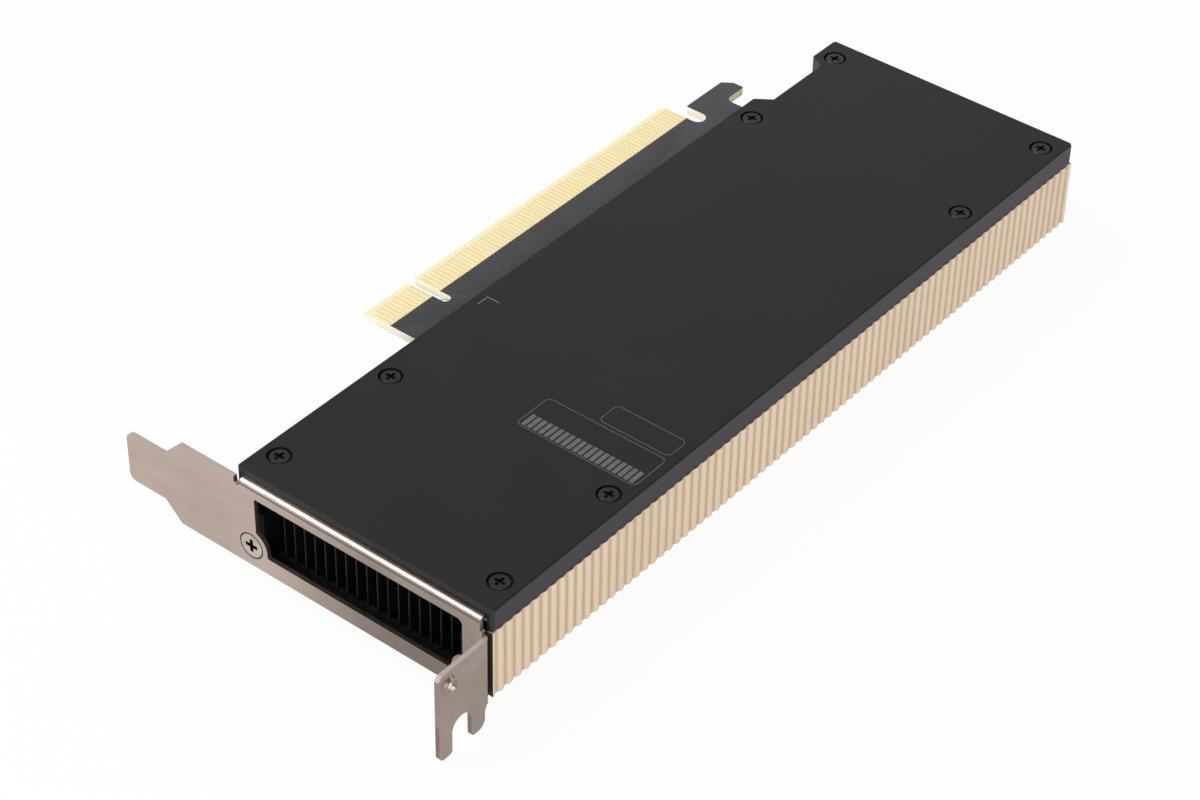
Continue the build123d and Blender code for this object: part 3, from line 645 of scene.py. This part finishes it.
def thicken(piece, thickness):
    bpy.context.view_layer.objects.active = piece
    solidify = piece.modifiers.new("thickness", "SOLIDIFY")
    solidify.thickness = thickness
    solidify.offset = 1
    bpy.ops.object.modifier_apply(modifier="thickness")


def copyPiece(source):
    # a copy with its own mesh
    copy = source.copy()
    copy.data = source.data.copy()
    bpy.context.scene.collection.objects.link(copy)
    return copy


def joinPieces(first, others):
    bpy.ops.object.select_all(action="DESELECT")
    for piece in [first] + others:
        piece.select_set(True)
    bpy.context.view_layer.objects.active = first
    bpy.ops.object.join()


def copyAlong(source, step, count):
    # copies one step apart, joined to the first
    copies = []
    for number in range(1, count):
        copy = copyPiece(source)
        copy.data.transform(Matrix.Translation(Vector(step) * number))
        copies.append(copy)
    joinPieces(source, copies)


def handOver(piece, material):
    piece.data.materials.clear()
    piece.data.materials.append(material)
    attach(piece, "root")


# Prints on the backplate: a corner tick and two empty label frames, one with plain even bars

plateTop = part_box("backplate")[1].z
inkHeight = 0.000008  # metres

inkLook = {
    "colour": (0.095, 0.094, 0.098),
    "drift": (0.115, 0.114, 0.118),
    "patches": 1500,
    "polish": 2500,
    "roughness": (0.5, 0.6),
    "grain": 9000,
    "depth": 0.000002,
    "specular": 0.3,
}
paleInkLook = {
    **inkLook,
    "colour": (0.115, 0.113, 0.125),
    "drift": (0.145, 0.142, 0.156),
}
greyInk = plainFinish("greyInk", inkLook)
paleInk = plainFinish("paleInk", paleInkLook)

tickLook = {"cornerX": 2.6, "cornerY": -15.9, "arm": 2.6, "line": 0.28}


def printTick(look):
    # an angle of two arms, its corner at the given place
    highX = look["cornerX"]
    highY = look["cornerY"]
    lowX = highX - look["line"]
    lowY = highY - look["line"]
    tick = startSheet("corner_tick", lowX, highX, lowY, highY, plateTop)
    bpy.ops.object.mode_set(mode="EDIT")
    pickEdges(lambda middle: middle.x < lowX + sliver)
    bpy.ops.mesh.extrude_region_move(TRANSFORM_OT_translate={"value": (-look["arm"] * mm, 0, 0)})
    pickEdges(lambda middle: middle.y < lowY + sliver and middle.x > lowX)
    bpy.ops.mesh.extrude_region_move(TRANSFORM_OT_translate={"value": (0, -look["arm"] * mm, 0)})
    bpy.ops.object.mode_set(mode="OBJECT")
    thicken(tick, inkHeight)
    handOver(tick, paleInk)


def roundedSheet(name, x, y, look):
    # on the plate, left in edit mode with all of it selected
    sheet = startSheet(name, *x, *y, plateTop)
    bpy.ops.object.mode_set(mode="EDIT")
    bpy.ops.mesh.select_all(action="SELECT")
    bpy.ops.mesh.bevel(affect="VERTICES", offset=look["corner"] * mm, segments=look["segments"])
    bpy.ops.mesh.select_all(action="SELECT")
    return sheet


labelFrames = {
    "wide_label_frame": {
        "x": (-20.81, -12.06), "y": (-67.19, -41.93), "corner": 1.1, "segments": 7, "line": 0.16,
    },
    "narrow_label_frame": {
        "x": (-11.36, -6.22), "y": (-66.89, -51.99), "corner": 1.1, "segments": 7, "line": 0.16,
    },
}


def printFrame(name, look):
    label = roundedSheet(name, look["x"], look["y"], look)
    bpy.ops.mesh.inset(thickness=look["line"] * mm, depth=0)
    bpy.ops.mesh.delete(type="FACE")
    bpy.ops.object.mode_set(mode="OBJECT")
    thicken(label, inkHeight)
    handOver(label, greyInk)


barLook = {
    "x": (-20.35, -17.15),
    "firstY": -66.4,
    "bar": 0.84,
    "pitch": 1.2,
    "count": 20,
    "corner": 0.05,
    "segments": 2,
}


def printBars(look):
    bars = roundedSheet("label_bars", look["x"], (look["firstY"], look["firstY"] + look["bar"]), look)
    bpy.ops.object.mode_set(mode="OBJECT")
    thicken(bars, inkHeight)
    copyAlong(bars, (0, look["pitch"] * mm, 0), look["count"])
    handOver(bars, paleInk)


printTick(tickLook)
for frameName, frameLook in labelFrames.items():
    printFrame(frameName, frameLook)
printBars(barLook)
print("prints laid on the backplate")


# Traces under the mask: they leave the contacts straight, then fan in towards the processor

boardLow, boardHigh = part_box("circuit_board")
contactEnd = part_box("edge_contacts_back")[0].y / mm
traceLook = {
    "width": 0.2,
    "height": 0.01,
    "overlap": 0.2,
    "bend": -7.4,
    "foot": -14.3,
    "focusX": 20,
    "reach": 25,
    "tighten": 0.2,
    "pitch": 1.0,
    "firstLane": 1.5,
    "shortSide": 11,
    "longSide": 71,
}


def shapeTrace(name, look, z):
    # one straight trace, cut across at the bend
    half = look["width"] / 2
    trace = startSheet(name, -half, half, contactEnd, contactEnd + look["overlap"], z)
    bpy.ops.object.mode_set(mode="EDIT")
    for end in (look["bend"], look["foot"]):
        lowest = min(vertex.co.y for vertex in bmesh.from_edit_mesh(trace.data).verts) / mm
        pickEdges(lambda middle: middle.y < lowest + sliver)
        drop = (0, (end - lowest) * mm, 0)
        bpy.ops.mesh.extrude_region_move(TRANSFORM_OT_translate={"value": drop})
    bpy.ops.object.mode_set(mode="OBJECT")
    thicken(trace, look["height"] * mm)
    return trace


def traceFan(name, look, z):
    # one trace for each contact, below its bend drawn in towards the focus
    source = shapeTrace(name, look, z)
    lanes = [-look["firstLane"] - n * look["pitch"] for n in range(look["shortSide"])]
    lanes += [look["firstLane"] + n * look["pitch"] for n in range(look["longSide"])]
    bend = look["bend"] * mm
    copies = []
    for lane in lanes:
        aside = lane - look["focusX"]
        slope = aside / (look["reach"] - look["tighten"] * max(0, aside))
        copy = copyPiece(source)
        for vertex in copy.data.vertices:
            fall = min(0, vertex.co.y - bend)
            vertex.co.x += lane * mm + slope * fall
        copies.append(copy)
    bpy.data.objects.remove(source)
    joinPieces(copies[0], copies[1:])
    copies[0].name = name
    return copies[0]


coveredCopperLook = {
    **boardLook,
    "colour": (0.026, 0.025, 0.028),
    "drift": (0.032, 0.031, 0.034),
}
coveredCopper = plainFinish("coveredCopper", coveredCopperLook)
backTraces = traceFan("back_traces", traceLook, boardHigh.z)
handOver(backTraces, coveredCopper)
frontTraces = traceFan("front_traces", traceLook, boardLow.z - traceLook["height"] * mm)
handOver(frontTraces, coveredCopper)
print("traces laid on the board")


# Three bare test points beside the hook's foot

testLook = {
    "spots": ((76.2, -13.6), (78.0, -13.6), (79.7, -13.5)),
    "radius": 0.22,
    "height": 0.02,
    "sides": 16,
    "rounding": 0.006,
    "segments": 2,
}


def addTestPoints(look):
    # low round lands with a rounded upper rim
    spots = []
    top = boardHigh.z / mm + look["height"]
    for x, y in look["spots"]:
        bpy.ops.object.select_all(action="DESELECT")
        bpy.ops.mesh.primitive_cylinder_add(
            vertices=look["sides"],
            radius=look["radius"] * mm,
            depth=look["height"] * mm,
            location=(x * mm, y * mm, boardHigh.z + look["height"] * mm / 2),
        )
        bpy.ops.object.transform_apply(location=True)
        bpy.ops.object.mode_set(mode="EDIT")
        pickEdges(lambda middle: middle.z > top - sliver)
        bpy.ops.mesh.bevel(offset=look["rounding"] * mm, segments=look["segments"])
        bpy.ops.object.mode_set(mode="OBJECT")
        spots.append(bpy.context.object)
    spots[0].name = "test_points"
    joinPieces(spots[0], spots[1:])
    handOver(spots[0], goldPlating)


addTestPoints(testLook)
print("test points added")


# Floor and light, in metres and watts

def seenDirectly(tree):
    # 1 for what the camera, a mirror or glass sees, 0 for light that falls on things
    path = tree.nodes.new("ShaderNodeLightPath")
    mirrored = calculate(
        tree, "MAXIMUM", path.outputs["Is Glossy Ray"], path.outputs["Is Transmission Ray"])
    return calculate(tree, "MAXIMUM", path.outputs["Is Camera Ray"], mirrored)


floorLook = {"size": 6.0, "gap": 0.0002, "colour": (0.88, 0.88, 0.88), "ownLight": 0.93}


def makeFloor(look):
    # seen directly it glows almost white, and for the light on the part it is matt grey
    bpy.ops.object.select_all(action="DESELECT")
    bpy.ops.mesh.primitive_plane_add(size=look["size"], location=(0, 0, cadLow.z - look["gap"]))
    floor = bpy.context.object
    floor.name = "floor"
    material = bpy.data.materials.new("paleFloor")
    material.use_nodes = True
    tree = material.node_tree
    tree.nodes.clear()
    output = tree.nodes.new("ShaderNodeOutputMaterial")
    matt = tree.nodes.new("ShaderNodeBsdfDiffuse")
    matt.inputs["Color"].default_value = (*look["colour"], 1)
    glow = tree.nodes.new("ShaderNodeEmission")
    glow.inputs["Color"].default_value = (1, 1, 1, 1)
    mix = tree.nodes.new("ShaderNodeMixShader")
    share = calculate(tree, "MULTIPLY", seenDirectly(tree), look["ownLight"])
    tree.links.new(share, mix.inputs["Fac"])
    tree.links.new(matt.outputs["BSDF"], mix.inputs[1])
    tree.links.new(glow.outputs["Emission"], mix.inputs[2])
    tree.links.new(mix.outputs["Shader"], output.inputs["Surface"])
    floor.data.materials.append(material)


worldLook = {"horizon": 1.0, "overhead": 0.30, "fadeFrom": 0.06, "fadeTo": 0.40, "light": 0.42}


def makeWorld(look):
    # what is seen of the room is white at the floor's far edge and dims overhead
    world = bpy.data.worlds.new("paleStudio")
    bpy.context.scene.world = world
    world.use_nodes = True
    tree = world.node_tree
    background = tree.nodes["Background"]
    background.inputs["Color"].default_value = (1, 1, 1, 1)
    rise = coordinate(tree, "Object", "Z")
    room = remap(tree, rise, look["horizon"], look["overhead"], look["fadeFrom"], look["fadeTo"])
    extra = calculate(tree, "SUBTRACT", room, look["light"])
    shown = calculate(tree, "MULTIPLY", extra, seenDirectly(tree))
    tree.links.new(calculate(tree, "ADD", shown, look["light"]), background.inputs["Strength"])


lamps = {
    "keyLamp": {"place": (-0.35, 0.60, 1.00), "size": 0.9, "power": 8.0},
    "sideLamp": {"place": (-0.95, -0.85, 0.50), "size": 0.7, "power": 9.0},
    "endLamp": {"place": (-1.20, -0.05, 0.45), "size": 0.8, "power": 2.0},
    "farLamp": {"place": (1.30, 1.00, 0.55), "size": 0.9, "power": 1.2},
}


def hangLamp(name, look):
    bpy.ops.object.light_add(type="AREA", location=look["place"])
    lamp = bpy.context.object
    lamp.name = name
    lamp.data.size = look["size"]
    lamp.data.energy = look["power"]
    aim = (cadLow + cadHigh) / 2 - Vector(look["place"])
    lamp.rotation_euler = aim.to_track_quat("-Z", "Y").to_euler()


makeFloor(floorLook)
makeWorld(worldLook)
for lampName, lampLook in lamps.items():
    hangLamp(lampName, lampLook)
print("floor and light set")
